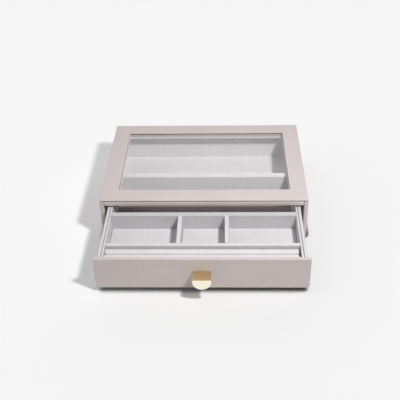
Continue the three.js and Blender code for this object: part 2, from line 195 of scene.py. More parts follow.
def new_group(name, inputs, outputs):
    """An empty node group with named sockets. Inputs are name: (kind, value), outputs are name: kind."""
    group = bpy.data.node_groups.new(name, "ShaderNodeTree")
    for label, (kind, value) in inputs.items():
        made = group.interface.new_socket(label, in_out="INPUT", socket_type="NodeSocket" + kind)
        made.default_value = value
    for label, kind in outputs.items():
        group.interface.new_socket(label, in_out="OUTPUT", socket_type="NodeSocket" + kind)
    return group, group.nodes.new("NodeGroupInput").outputs, group.nodes.new("NodeGroupOutput").inputs


def make_drift_group():
    """Slow patches of two tones, with a fine speckle in them."""
    group, given, result = new_group("tone drift", {
        "Tone": ("Color", (0.5, 0.5, 0.5, 1)), "Second Tone": ("Color", (0.6, 0.6, 0.6, 1)),
        "Patch Scale": ("Float", 20.0), "Speckle Scale": ("Float", 900.0),
    }, {"Color": "Color"})
    place = object_place(group)
    slow = noise(group, place, given["Patch Scale"], detail=3.0)
    fine = noise(group, place, given["Speckle Scale"], detail=1.0)
    share = ramp(group, blend(group, SPECKLE_SHARE, slow, fine, "FLOAT"), NOISE_LOW, NOISE_HIGH)
    group.links.new(blend(group, share, given["Tone"], given["Second Tone"]), result["Color"])
    return group


drift_group = make_drift_group()
print("made the group", drift_group.name)

# %% [markdown]
# The nap of velvet and felt is short fibres that lean together in patches. Hair could show each fibre, but a
# pile this short is finer than a pixel. So a fine noise gives the tips and a slower one the patches, and together
# they are a height for the bump. The group also gives a shade for the colour, and part of it is painted shade:
# it is lower on an upright face than on a level face.

# %% Shared effect: nap
LEAN_SHARE = 0.45
LEAN_LOW, LEAN_HIGH = 0.4, 0.6
LYING_SHADE = 0.965


def make_nap_group():
    """Fine tips in leaning patches. Upright is how much of the colour the painted shade leaves on an upright face.
    """
    group, given, result = new_group("nap", {
        "Fibre Scale": ("Float", 4000.0), "Lean Scale": ("Float", 120.0), "Upright": ("Float", 1.0),
    }, {"Height": "Float", "Lean": "Float", "Shade": "Float"})
    place = object_place(group)
    tips = noise(group, place, given["Fibre Scale"], detail=2.0)
    patches = noise(group, place, given["Lean Scale"], detail=4.0, distortion=0.6)
    lean = ramp(group, patches, LEAN_LOW, LEAN_HIGH)
    facing = add_node(group, "ShaderNodeTexCoord").outputs["Normal"]
    level = calc(group, "ABSOLUTE", part_along(group, "Z", facing))
    # Painted shade: the colour is darker on upright faces than on level ones.
    upright_painted_shade = ramp(group, level, low=given["Upright"])
    group.links.new(blend(group, LEAN_SHARE, tips, patches, "FLOAT"), result["Height"])
    group.links.new(lean, result["Lean"])
    group.links.new(calc(group, "MULTIPLY", ramp(group, lean, low=LYING_SHADE), upright_painted_shade), result["Shade"])
    return group


nap_group = make_nap_group()
print("made the group", nap_group.name)

# %% [markdown]
# Brushed metal has scratches and fibreboard has flecks, and both are streaks: a noise that is squeezed, by a
# different scale along each axis. Two finishes also paint a shade or a highlight in front of a certain place
# along the box, and a mask that is 1 in front of that place does it without cutting the piece in two.

# %% Shared effects: streaks and the front mask
def make_streak_group():
    """A noise that is squeezed by a scale of its own along each axis."""
    group, given, result = new_group("streaks", {
        "Squeeze": ("Vector", (1.0, 1.0, 1.0)), "Detail": ("Float", 3.0),
    }, {"Streaks": "Float"})
    squeezed = add_node(group, "ShaderNodeMapping", {"Vector": object_place(group), "Scale": given["Squeeze"]})
    group.links.new(noise(group, squeezed.outputs["Vector"], 1.0, given["Detail"]), result["Streaks"])
    return group


def make_front_group():
    """A mask that is 1 in front of a place along Y, and fades out over the soft edge behind it."""
    group, given, result = new_group("front mask", {
        "Place": ("Float", 0.0), "Soft Edge": ("Float", 0.1 * MM),
    }, {"Mask": "Float"})
    fade_start = calc(group, "ADD", given["Place"], given["Soft Edge"])
    mask = ramp(group, part_along(group, "Y", object_place(group)), fade_start, given["Place"])
    group.links.new(mask, result["Mask"])
    return group


streak_group = make_streak_group()
front_group = make_front_group()
print("made the groups", streak_group.name, "and", front_group.name)

# %% [markdown]
# Each finish is a material with one Principled BSDF. What is the same all over a surface is set on the shader's
# own sockets, and what changes over it is fed by nodes: the colour, the roughness and a bump.
# Colours are written as they look on a screen, from 0 to 255, and turned into the light values of shaders.

# %% Helpers for materials
def rgba(red, green, blue):
    """A colour given as it looks on a screen, from 0 to 255, in the light values that shaders use."""
    def linear(level):
        share = level / 255
        return share / 12.92 if share <= 0.04045 else ((share + 0.055) / 1.055) ** 2.4
    return (linear(red), linear(green), linear(blue), 1)


def new_material(name, plain):
    """A material with one Principled BSDF, whose plain sockets are set here."""
    material = bpy.data.materials.new(name)
    material.use_nodes = True
    shader = material.node_tree.nodes["Principled BSDF"]
    for label, value in plain.items():
        shader.inputs[label].default_value = value
    return material, material.node_tree, shader


def use_group(tree, group, values):
    """Places a group in a material, with its own values for the inputs, and hands back its outputs."""
    node = tree.nodes.new("ShaderNodeGroup")
    node.node_tree = group
    for label, value in values.items():
        node.inputs[label].default_value = value
    return node.outputs


def add_bump(tree, shader, height, depth, strength):
    """Tilts the shading by a height that changes over the surface. Depth is how deep it goes."""
    bump = add_node(tree, "ShaderNodeBump", {"Strength": strength, "Distance": depth, "Height": height})
    tree.links.new(bump.outputs["Normal"], shader.inputs["Normal"])


def feed_surface(tree, shader, colour, roughness, height, depth, strength):
    """Links all that changes over the surface."""
    tree.links.new(colour, shader.inputs["Base Color"])
    tree.links.new(roughness, shader.inputs["Roughness"])
    add_bump(tree, shader, height, depth, strength)


print("helpers for materials ready")

# %% [markdown]
# Leatherette is a printed grain on a thin, slightly padded sheet. A picture of it could be laid on, but it would
# repeat, and blur close up. So its pebbles come from the distance to the edges of Voronoi cells, bent by a noise
# so that no cell is straight. The creases between the pebbles are lower and duller, and a painted shade makes
# them a little darker. A fine noise breaks up the tops.
# The cover's folded edge and the ledge under it, round the window and in the recessed line outside, get little
# light, so on those two pieces the colour is painted darker between two heights: a painted shade.

# %% Shared effects of the leatherette
PEBBLE_BEND = 0.6 * MM
BEND_SCALE = 700.0
NOISE_MIDDLE = 0.5, 0.5, 0.5
CREASE_REACH = 0.22
TOPS_SCALE = 5200.0
TOPS_SHARE = 0.22
# Painted shade in the recess: the share of the colour left there, and how it fades in.
PAINTED_RECESS_SHADE = 0.35
RECESS_LOW_FADE = 0.1 * MM
RECESS_HIGH_FADE = 0.2 * MM


def make_grain_group():
    """Pebbles with creases between them: a height for the bump, and a mask that is 1 on the pebbles."""
    group, given, result = new_group(
        "pebble grain", {"Pebble Scale": ("Float", 900.0)}, {"Height": "Float", "Pebble": "Float"},
    )
    place = object_place(group)
    bend = add_node(group, "ShaderNodeTexNoise", {"Vector": place, "Scale": BEND_SCALE, "Detail": 2.0})
    shift = vector_calc(group, "SUBTRACT", bend.outputs["Color"], NOISE_MIDDLE)
    bent = vector_calc(group, "MULTIPLY_ADD", shift, (PEBBLE_BEND,) * 3, place)
    cells = add_node(group, "ShaderNodeTexVoronoi", {
        "Vector": bent, "Scale": given["Pebble Scale"],
    }, feature="DISTANCE_TO_EDGE")
    pebble = ramp(group, cells.outputs["Distance"], end=CREASE_REACH, curve="SMOOTHSTEP")
    tops = noise(group, place, TOPS_SCALE, detail=2.0)
    group.links.new(blend(group, TOPS_SHARE, pebble, tops, "FLOAT"), result["Height"])
    group.links.new(pebble, result["Pebble"])
    return group


def make_painted_recess_shade_group():
    """A painted shade for the colour, which is low between two heights and fades out just inside them."""
    group, given, result = new_group(
        "painted recess shade", {"Low": ("Float", 0.0), "High": ("Float", 1.0)}, {"Shade": "Float"},
    )
    height = part_along(group, "Z", object_place(group))
    above = ramp(group, height, given["Low"], calc(group, "ADD", given["Low"], RECESS_LOW_FADE))
    below = ramp(group, height, given["High"], calc(group, "SUBTRACT", given["High"], RECESS_HIGH_FADE))
    inside = calc(group, "MULTIPLY", above, below)
    group.links.new(ramp(group, inside, low=1.0, high=PAINTED_RECESS_SHADE), result["Shade"])
    return group


grain_group = make_grain_group()
painted_recess_shade_group = make_painted_recess_shade_group()
print("made the groups", grain_group.name, "and", painted_recess_shade_group.name)

# %% [markdown]
# The case and the drawer's panel are covered in one sheet. The cover of the top is the same sheet with a painted
# shade in its recess. The core inside the window is the same sheet in two darker tones, a painted shade.

# %% Leatherette
BLUSH = rgba(214, 203, 201), rgba(209, 197, 195)
# Painted shade: the core's two tones are the blush made darker.
PAINTED_SHADE_BLUSH = rgba(192, 181, 179), rgba(186, 175, 173)
PEBBLE_SCALE = 950.0
GRAIN_DEPTH = 0.09 * MM
CREASE_PAINTED_SHADE = 0.9
CREASE_ROUGHNESS, PEBBLE_ROUGHNESS = 0.68, 0.5
GRAIN_STRENGTH = 0.5
RECESS_UNDER_GLASS = 0.2 * MM
RECESS_OVER_FOLD = 0.55 * MM


def make_leatherette(name, tones, recess=None):
    """The grained sheet in two near tones. Recess is the two heights between which it has a painted shade."""
    material, tree, shader = new_material(name, {"Specular IOR Level": 0.35})
    drift = use_group(tree, drift_group, {
        "Tone": tones[0], "Second Tone": tones[1], "Patch Scale": 26.0, "Speckle Scale": 1500.0,
    })
    grain = use_group(tree, grain_group, {"Pebble Scale": PEBBLE_SCALE})
    # Painted shade in the creases between the pebbles.
    shade = ramp(tree, grain["Pebble"], low=CREASE_PAINTED_SHADE)
    # Painted shade in the recess, on the pieces that have one.
    if recess:
        dark = use_group(tree, painted_recess_shade_group, {"Low": recess[0], "High": recess[1]})
        shade = calc(tree, "MULTIPLY", shade, dark["Shade"])
    colour = dimmed(tree, drift["Color"], shade)
    roughness = ramp(tree, grain["Pebble"], low=CREASE_ROUGHNESS, high=PEBBLE_ROUGHNESS)
    feed_surface(tree, shader, colour, roughness, grain["Height"], GRAIN_DEPTH, GRAIN_STRENGTH)
    return material


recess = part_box("window_glass")[0][2] - RECESS_UNDER_GLASS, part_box("top_frame")[0][2] + RECESS_OVER_FOLD
leatherette = make_leatherette("blush leatherette", BLUSH)
cover_leatherette = make_leatherette("cover leatherette", BLUSH, recess)
shaded_core_leatherette = make_leatherette("core leatherette, painted shade", PAINTED_SHADE_BLUSH, recess)
print("made", leatherette.name + ",", cover_leatherette.name, "and", shaded_core_leatherette.name)

# %% [markdown]
# Velvet and felt are both a nap on a backing. Velvet's pile is short and stands up, so it also has a sheen at
# its edges, where one looks along the fibres. Felt is flatter and duller, and its fibres lie in all ways.
# The box has one velvet, but seven kinds of it are made here, whose tones carry painted light and shade.
# It is painted paler on the case's linings and the drawer's back, and paler on the ring rolls, with a strong
# painted shade on their sides. The liner behind the rear compartment has no painted shade on its upright faces.
# The bar between the tray and that compartment is painted darker, and the card on that compartment's floor is a
# darker, warmer taupe, whose darkness is painted shade. The side linings have a dark painted shade at their front
# ends.

# %% Velvet and felt
VELVET_NAP = {"Fibre Scale": 4200.0, "Lean Scale": 150.0}
VELVET_DEPTH = 0.12 * MM
FELT_NAP = {"Fibre Scale": 2600.0, "Lean Scale": 500.0}
FELT_DEPTH = 0.2 * MM
LYING_ROUGHNESS, STANDING_ROUGHNESS = 0.95, 0.85
NAP_STRENGTH = 0.6
PALE = 221, 218, 220
# Painted light: a paler tone of the velvet, for the linings and the drawer's back.
PAINTED_LIGHT_TONE = 233, 229, 231
FELT = rgba(188, 181, 179), rgba(180, 173, 171)
# Painted shade at the front ends of the side linings: its colour, how far it reaches and how it fades.
FRONT_END_PAINTED_SHADE = rgba(128, 118, 112)
PAINTED_SHADE_END_DEPTH = 0.3 * MM
PAINTED_SHADE_END_FADE = 0.1 * MM


def make_cloth(name, tone, second, plain, nap_values, depth, upright=1.0, painted_shade_end=None):
    """A napped cloth of two near tones. Upright is how much of its colour the painted shade leaves on an upright
    face.
    The last argument is a place along Y: in front of it the colour is a dark painted shade."""
    material, tree, shader = new_material(name, plain)
    drift = use_group(tree, drift_group, {
        "Tone": tone, "Second Tone": second, "Patch Scale": 45.0, "Speckle Scale": 2600.0,
    })
    nap = use_group(tree, nap_group, {**nap_values, "Upright": upright})
    colour = dimmed(tree, drift["Color"], nap["Shade"])
    if painted_shade_end:
        front = use_group(tree, front_group, {"Place": painted_shade_end, "Soft Edge": PAINTED_SHADE_END_FADE})
        # Painted shade: in front of that place the colour is dark.
        colour = blend(tree, front["Mask"], colour, FRONT_END_PAINTED_SHADE)
    roughness = ramp(tree, nap["Lean"], low=LYING_ROUGHNESS, high=STANDING_ROUGHNESS)
    feed_surface(tree, shader, colour, roughness, nap["Height"], depth, NAP_STRENGTH)
    return material


def make_velvet(name, tone, sheen=0.2, upright=0.84, step=4, painted_shade_end=None):
    """One kind of the velvet. Step is how many levels its second tone lies below the first."""
    second = (level - step for level in tone)
    plain = {"Specular IOR Level": 0.15, "Sheen Weight": sheen, "Sheen Roughness": 0.4}
    return make_cloth(name, rgba(*tone), rgba(*second), plain, VELVET_NAP, VELVET_DEPTH, upright, painted_shade_end)


velvet = make_velvet("pale velvet", PALE)
# Painted light and shade: the rolls' velvet is paler, and much darker on its upright sides.
padding_velvet = make_velvet("padding velvet", (228, 224, 226), upright=0.55)
# Painted light: a paler copy of the velvet.
painted_light_velvet = make_velvet("velvet painted lighter", PAINTED_LIGHT_TONE, sheen=0.3)
# Without the painted shade on upright faces, so those stay lighter.
even_velvet = make_velvet("even velvet", PALE, upright=1.0)
# Painted shade: a darker copy of the velvet, for the bar.
painted_shade_bar_velvet = make_velvet("bar velvet painted darker", (206, 203, 205), sheen=0.1, upright=0.96)
# Painted shade: a darker, warmer copy of the velvet, for the rear floor card.
taupe_velvet = make_velvet("taupe velvet", (172, 160, 158), sheen=0.1, step=5)
# Painted shade in front of this place along Y, on the side linings.
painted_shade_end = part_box("lining_left")[0][1] + PAINTED_SHADE_END_DEPTH
# Painted light: the side linings are paler too.
lining_velvet = make_velvet("lining velvet", PAINTED_LIGHT_TONE, sheen=0.3, upright=0.88, painted_shade_end=painted_shade_end)
felt = make_cloth("base felt", *FELT, {"Specular IOR Level": 0.1}, FELT_NAP, FELT_DEPTH)
velvets = velvet, padding_velvet, painted_light_velvet, even_velvet, painted_shade_bar_velvet, taupe_velvet, lining_velvet
print("made", ", ".join(kind.name for kind in velvets), "and", felt.name)

# %% [markdown]
# Fibreboard is pressed wood dust. It has no grain lines, only flecks of darker fibre, so the streaks with a mild
# squeeze are enough. It shows only under the tray and on the underside of the drawer.

# %% Fibreboard
BOARD = rgba(190, 167, 138), rgba(178, 154, 124)
FIBRE_SQUEEZE = 700.0, 1900.0, 1900.0
FLECK_LOW, FLECK_HIGH = 0.3, 0.5
FLECK_SHADE = 0.8
FIBRE_DEPTH = 0.08 * MM
FIBRE_STRENGTH = 0.4
BOARD_SMOOTH, BOARD_ROUGH = 0.7, 0.95


def make_fibreboard():
    """A dusty board with darker flecks, whose roughness follows the fibres."""
    material, tree, shader = new_material("fibreboard", {"Specular IOR Level": 0.3})
    drift = use_group(tree, drift_group, {
        "Tone": BOARD[0], "Second Tone": BOARD[1], "Patch Scale": 60.0, "Speckle Scale": 2200.0,
    })
    fibres = use_group(tree, streak_group, {"Squeeze": FIBRE_SQUEEZE, "Detail": 3.0})["Streaks"]
    colour = dimmed(tree, drift["Color"], ramp(tree, fibres, FLECK_LOW, FLECK_HIGH, low=FLECK_SHADE))
    roughness = ramp(tree, fibres, low=BOARD_SMOOTH, high=BOARD_ROUGH)
    feed_surface(tree, shader, colour, roughness, fibres, FIBRE_DEPTH, FIBRE_STRENGTH)
    return material


fibreboard = make_fibreboard()
print("made", fibreboard.name)

# %% [markdown]
# The pull is brushed metal: fine scratches run across it and stretch its reflections. An anisotropic shader
# could stretch them too, but scratches that one can see close up look more real. So the streaks, with a strong
# squeeze, feed the roughness and a very shallow bump.
# The pull's hanging flap is paler than the shelf behind it, a painted highlight, so the tone changes at the fold.
# The nuts behind the panel are zinc-plated steel, made by the same recipe with its own values.

# %% Brass and steel
BRASS = rgba(227, 208, 165), rgba(221, 200, 154)
PAINTED_HIGHLIGHT_BRASS = rgba(255, 253, 236), rgba(255, 250, 229)
ZINC = rgba(205, 207, 209), rgba(190, 193, 196)
BRASS_SQUEEZE = 90.0, 6000.0, 6000.0
ZINC_SQUEEZE = 900.0, 900.0, 900.0
SCRATCH_LOW, SCRATCH_HIGH = 0.3, 0.7
SCRATCH_DEPTH = 0.01 * MM
SCRATCH_STRENGTH = 0.25
FLAP_DEPTH = 0.3 * MM
FOLD_FADE = 0.7 * MM
fold_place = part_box("pull_tab")[0][1] + FLAP_DEPTH


def metal_tone(tree, tones):
    """A metal's colour, drifting between two near tones."""
    return use_group(tree, drift_group, {
        "Tone": tones[0], "Second Tone": tones[1], "Patch Scale": 90.0, "Speckle Scale": 700.0,
    })["Color"]


def make_metal(name, tones, squeeze, smooth, rough, flap_highlight_tones=None):
    """A brushed metal of two near tones, with a roughness from smooth to rough.
    The last argument gives its paler tones in front of the fold, a painted highlight."""
    material, tree, shader = new_material(name, {"Metallic": 1.0})
    scratches = use_group(tree, streak_group, {"Squeeze": squeeze, "Detail": 4.0})["Streaks"]
    colour = metal_tone(tree, tones)
    if flap_highlight_tones:
        # Painted highlight: in front of the fold the colour is paler.
        front = use_group(tree, front_group, {"Place": fold_place, "Soft Edge": FOLD_FADE})
        colour = blend(tree, front["Mask"], colour, metal_tone(tree, flap_highlight_tones))
    roughness = ramp(tree, scratches, SCRATCH_LOW, SCRATCH_HIGH, smooth, rough)
    feed_surface(tree, shader, colour, roughness, scratches, SCRATCH_DEPTH, SCRATCH_STRENGTH)
    return material


brass = make_metal("brushed brass", BRASS, BRASS_SQUEEZE, smooth=0.2, rough=0.3, flap_highlight_tones=PAINTED_HIGHLIGHT_BRASS)
steel = make_metal("zinc-plated steel", ZINC, ZINC_SQUEEZE, smooth=0.3, rough=0.45)
print("made", brass.name, "and", steel.name)

# %% [markdown]
# Glass is clear to the eye, but a renderer treats a refracting surface as opaque to lamps, and the box under
# it would go dark. So the pane lets shadow rays straight through, tinted a little, and is real glass to what is
# seen. Rays that left a matt surface also go straight through, or the same light would be counted twice.
# A faint unevenness of the surface keeps its reflection from looking computed.

# %% Glass
WAVE_SCALE = 9.0
WAVE_DEPTH = 0.05 * MM
WAVE_STRENGTH = 0.02
PANE_TINTS = rgba(254, 254, 254), rgba(252, 253, 252)
CLEAR_TINT = 0.98, 0.98, 0.98, 1


def make_glass():
    """A pane that is glass to the eye and lets the light of the lamp and the room pass."""
    material, tree, shader = new_material("clear pane", {
        "Transmission Weight": 1.0, "IOR": 1.5, "Roughness": 0.0,
    })
    wave = noise(tree, object_place(tree), WAVE_SCALE, detail=1.0)
    tree.links.new(blend(tree, wave, *PANE_TINTS), shader.inputs["Base Color"])
    add_bump(tree, shader, wave, WAVE_DEPTH, WAVE_STRENGTH)
    clear = add_node(tree, "ShaderNodeBsdfTransparent", {"Color": CLEAR_TINT})
    rays = add_node(tree, "ShaderNodeLightPath").outputs
    mix = add_node(tree, "ShaderNodeMixShader", {
        "Fac": calc(tree, "MAXIMUM", rays["Is Shadow Ray"], rays["Is Diffuse Ray"]),
        1: shader.outputs["BSDF"], 2: clear.outputs["BSDF"],
    })
    tree.links.new(mix.outputs["Shader"], tree.nodes["Material Output"].inputs["Surface"])
    return material


glass = make_glass()
print("made", glass.name)

# %% [markdown]
# The construction pieces that already have the right shape are kept, and get their finish by their slot in
# the record. Their meshes are loose triangles, so a Weld joins them, a narrow Bevel rounds the edges that are
# still sharp, and Weighted Normal lets the large flat faces set the shading, as on a real covered board.
# Modifiers do all of it, because the meshes themselves have to stay as they came.

# %% Dress the construction pieces
FINISHES = {
    "leatherette": leatherette, "velvet": velvet, "board": fibreboard, "felt": felt,
    "glass": glass, "brass": brass, "steel": steel,
}
# Most of these own finishes carry painted light or shade: paler linings and drawer back, darker core, bar and rear
# card.
OWN_FINISHES = {
    "top_frame": cover_leatherette, "window_core": shaded_core_leatherette,
    "lining_left": lining_velvet, "lining_right": lining_velvet,
    "lining_back": painted_light_velvet, "lining_floor": painted_light_velvet, "drawer_back": painted_light_velvet,
    "floor_card_rear": taupe_velvet, "liner_back": even_velvet, "rear_partition": painted_shade_bar_velvet,
}
EDGE_WIDTH_MM = {
    "leatherette": 0.35, "velvet": 0.3, "board": 0.1, "felt": 0.15, "glass": 0.12, "brass": 0.16, "steel": 0.12,
}
EDGE_ANGLE = math.radians(50)
EDGE_STEPS = 3
WELD_REACH = 0.001 * MM


def shade_smooth(piece):
    """Lets the shading run on over the edges between the faces."""
    piece.data.polygons.foreach_set("use_smooth", [True] * len(piece.data.polygons))


def dress(node, slot):
    """Gives a construction piece its material and soft edges, without touching its mesh."""
    piece = nodes[node]
    piece.data.materials.clear()
    piece.data.materials.append(OWN_FINISHES.get(node, FINISHES[slot]))
    shade_smooth(piece)
    piece.modifiers.new("weld", "WELD").merge_threshold = WELD_REACH
    edge = piece.modifiers.new("soft edges", "BEVEL")
    edge.width = EDGE_WIDTH_MM[slot] * MM
    edge.segments = EDGE_STEPS
    edge.limit_method = "ANGLE"
    edge.angle_limit = EDGE_ANGLE
    edge.harden_normals = False
    piece.modifiers.new("flat faces", "WEIGHTED_NORMAL").keep_sharp = False


for entry in frame["record"]["subparts"]:
    dress(entry["node"], entry["material_slot"])
print(len(nodes), "pieces dressed in", len(FINISHES) + len(set(OWN_FINISHES.values())), "finishes")

# %% [markdown]
# The two ring rolls are foam bars under velvet, and a ring stands in the slot between them. The construction
# model has them as plain solids, so each is made again in the same space. It starts as a block: its top edge at
# the back is pinched against the next piece and stays tight, and the one at the front rolls down softly.
# Remesh then cuts the block into even facets, because cloth only moves well where its facets are alike.
# Cloth is also happiest at a size of a metre or so, so the block is made twenty times too large.

# %% Blocks for the ring rolls
ROLL_BACK_ROUND = 1.0 * MM
ROLL_FRONT_ROUND = 3.2 * MM
ROLL_END_ROUND = 0.3 * MM
ROLL_ROUND_STEPS = 6
ROLL_END_STEPS = 2
ROLL_FACET = 1.5 * MM
SIM_SCALE = 20
# An edge lies in an end face if the places along X of its two points add up to this share of the block's length.
END_SHARE = 0.99


def round_edges(block, edges, offset, segments):
    """Rounds some edges of a bmesh."""
    bmesh.ops.bevel(block, geom=edges, offset=offset, affect="EDGES", segments=segments, profile=0.5, material=-1)


def roll_block(name, size):
    """A block with softly rounded top edges, in the middle of its space, as an object of even facets."""
    block = bmesh.new()
    bmesh.ops.create_cube(block, size=1)
    bmesh.ops.scale(block, vec=size, verts=block.verts)
    for side, offset in ((-1, ROLL_FRONT_ROUND), (1, ROLL_BACK_ROUND)):
        long_top = [edge for edge in block.edges if edge.calc_length() > size.x / 2
                    and all(vert.co.z > 0 and side * vert.co.y > 0 for vert in edge.verts)]
        round_edges(block, long_top[:1], offset, ROLL_ROUND_STEPS)
    ends = [edge for edge in block.edges
            if abs(edge.verts[0].co.x + edge.verts[1].co.x) > END_SHARE * size.x]
    round_edges(block, ends, ROLL_END_ROUND, ROLL_END_STEPS)
    bmesh.ops.scale(block, vec=(SIM_SCALE,) * 3, verts=block.verts)
    data = bpy.data.meshes.new(name)
    block.to_mesh(data)
    block.free()
    made = add_object(name, data)
    facets = made.modifiers.new("facets", "REMESH")
    facets.mode = "VOXEL"
    facets.voxel_size = ROLL_FACET * SIM_SCALE
    made.data = bpy.data.meshes.new_from_object(made.evaluated_get(bpy.context.evaluated_depsgraph_get()))
    made.modifiers.clear()
    return made


print("blocks for the rolls will have facets of", round(ROLL_FACET / MM, 1), "mm")

# %% [markdown]
# The block is blown up as cloth, the way that velvet is stretched by the foam in it. A bar with round edges alone
# would be quicker, but its sides wouldn't swell and ease out towards the corners as those of covered foam do.
# There is no gravity, only a pressure inside, and after a few frames the swollen shape is read off.

# %% Blow up a block
SIM_FRAMES = 20
SIM_PRESSURE = 4


def blown_up(block):
    """Where the points of the block go when it is blown up as cloth."""
    cloth = block.modifiers.new("cloth", "CLOTH")
    cloth.settings.effector_weights.gravity = 0
    cloth.settings.use_pressure = True
    cloth.settings.uniform_pressure_force = SIM_PRESSURE
    cloth.point_cache.frame_end = SIM_FRAMES
    for frame_number in range(1, SIM_FRAMES + 1):
        bpy.context.scene.frame_set(frame_number)
    ready = block.evaluated_get(bpy.context.evaluated_depsgraph_get())
    points = [vert.co.copy() for vert in ready.data.vertices]
    block.modifiers.clear()
    bpy.context.scene.frame_set(1)
    return points


print("a block will be blown up over", SIM_FRAMES, "frames")

# %% [markdown]
# Each roll is its blown-up block, brought back to its real size and place. A cap holds every point near its
# start, and the cap wanders a little along the bar: real foam is never even. It also shrinks to nothing at the
# foot, which stays flat on the tray.
# The left end is tucked against the wall, and the right end stops a little short of it, as foam cut by hand does.

# %% Ring rolls
ROLL_INSET = Vector((-0.9, 0.45, 0.0)) * MM
ROLL_SHORT = 2.1 * MM
ROLL_SWELL = 0.62 * MM
ROLL_UNEVEN = 0.3
ROLL_FOOT = 1.5 * MM
# Three waves whose lengths have no common measure: share of the whole, length, and how far the phase shifts it.
ROLL_WAVES = (0.5, 11.3 * MM, 1.0), (0.3, 6.1 * MM, 2.1), (0.2, 3.7 * MM, 3.7)
LEAST_MOVE = 0.001 * MM


def unevenness(along, phase):
    """From -1 to 1, wandering along the bar."""
    return sum(share * math.sin(along / length + shift * phase) for share, length, shift in ROLL_WAVES)


def make_roll(node, phase):
    """One padded roll in the space of its construction solid."""
    low, high = (Vector(corner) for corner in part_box(node))
    size = high - low - Vector((2 * ROLL_INSET.x + ROLL_SHORT, 2 * ROLL_INSET.y, ROLL_INSET.z))
    middle = (low + high) / 2 - Vector((ROLL_SHORT / 2, 0, ROLL_INSET.z / 2))
    roll = roll_block(node + "_padding", size)
    normals = [vert.normal.copy() for vert in roll.data.vertices]
    blown = blown_up(roll)
    for index, vert in enumerate(roll.data.vertices):
        start = vert.co / SIM_SCALE
        move = normals[index] if blown is None else blown[index] / SIM_SCALE - start
        foot = min(1.0, max(0.0, (start.z + size.z / 2) / ROLL_FOOT))
        cap = ROLL_SWELL * foot * (1 - ROLL_UNEVEN / 2 + ROLL_UNEVEN / 2 * unevenness(start.x, phase))
        vert.co = middle + start + move * min(1.0, cap / max(move.length, LEAST_MOVE))
    shade_smooth(roll)
    roll.data.materials.append(padding_velvet)
    smooth = roll.modifiers.new("smooth", "SUBSURF")
    smooth.levels = smooth.render_levels = 1
    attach(roll, "drawer")
    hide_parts(node)
    return roll


for roll_node, roll_phase in (("ring_roll_front", 0.4), ("ring_roll_rear", 2.3)):
    roll = make_roll(roll_node, roll_phase)
    reach = [[end(corner[axis] for corner in roll.bound_box) for axis in range(3)] for end in (min, max)]
    print(roll.name, "has", len(roll.data.polygons), "faces, from", in_mm(reach[0]), "to", in_mm(reach[1]), "mm")

# %% [markdown]
# The studio has one lamp. It stands to the right and in front, about as far away as the camera, and throws the
# box's shadow to the left and back. A point of light could do that too, but its shadows would be sharp, and a
# small disk softens them.
# It is aimed past the box, over its far corner, so that what is near is lit by the weaker edge of its beam and
# the light stays even across the box.

# %% The lamp
LAMP_PLACE = Vector((255, -385, 605)) * MM
LAMP_AIM = Vector((-0.53, 0.83, -0.15)).normalized()
LAMP_SIZE = 90 * MM
# A lamp's level is how bright it alone makes a white level surface at the origin.
LAMP_LEVEL = 0.62
LAMP_WATTS = LAMP_LEVEL * math.pi ** 2 * LAMP_PLACE.length ** 4 / LAMP_PLACE.z / LAMP_AIM.dot(-LAMP_PLACE)


def add_lamp():
    """A small disk of light, aimed past the box."""
    data = bpy.data.lights.new("key lamp", "AREA")
    data.shape = "DISK"
    data.size = LAMP_SIZE
    data.energy = LAMP_WATTS
    lamp = add_object("key lamp", data)
    lamp.location = LAMP_PLACE
    lamp.rotation_mode = "QUATERNION"
    lamp.rotation_quaternion = LAMP_AIM.to_track_quat("-Z", "Y")
    return lamp


lamp = add_lamp()
print(lamp.name, "of", round(LAMP_WATTS, 2), "watts, at", in_mm(lamp.location), "mm")

# %% [markdown]
# The room gives the matt surfaces their soft light. A picture of a room could light them, but three wide lobes
# are easier to weigh against each other: the strongest comes from low behind the box, one from the upper left,
# and a weak one from low in front.
# The background that the camera sees is plain and white, and so is the one that glass and metal mirror, so the
# lobes are kept for the rays that left a matt surface.

# %% The room
# The way to each lobe, and the level in its middle: behind, the upper left, and in front.
LOBES = (
    (Vector((0, 1, 0.12)).normalized(), 1.2),
    (Vector((-0.75, 0, 0.65)).normalized(), 0.7),
    (Vector((0, -1, 0.12)).normalized(), 0.22),
)
# The cosines between which a lobe rises from nothing to its level, and the level that comes from everywhere.
LOBE_EDGE = 0.6
LOBE_CORE = 0.95
EVEN_LEVEL = 0.03
WHITE = rgba(246, 246, 246)


def seen_rays(tree):
    """1 for the rays that show a thing: from the camera, off metal or glass, or through glass."""
    rays = add_node(tree, "ShaderNodeLightPath").outputs
    mirrored = calc(tree, "MAXIMUM", rays["Is Camera Ray"], rays["Is Glossy Ray"])
    return calc(tree, "MAXIMUM", mirrored, rays["Is Transmission Ray"])


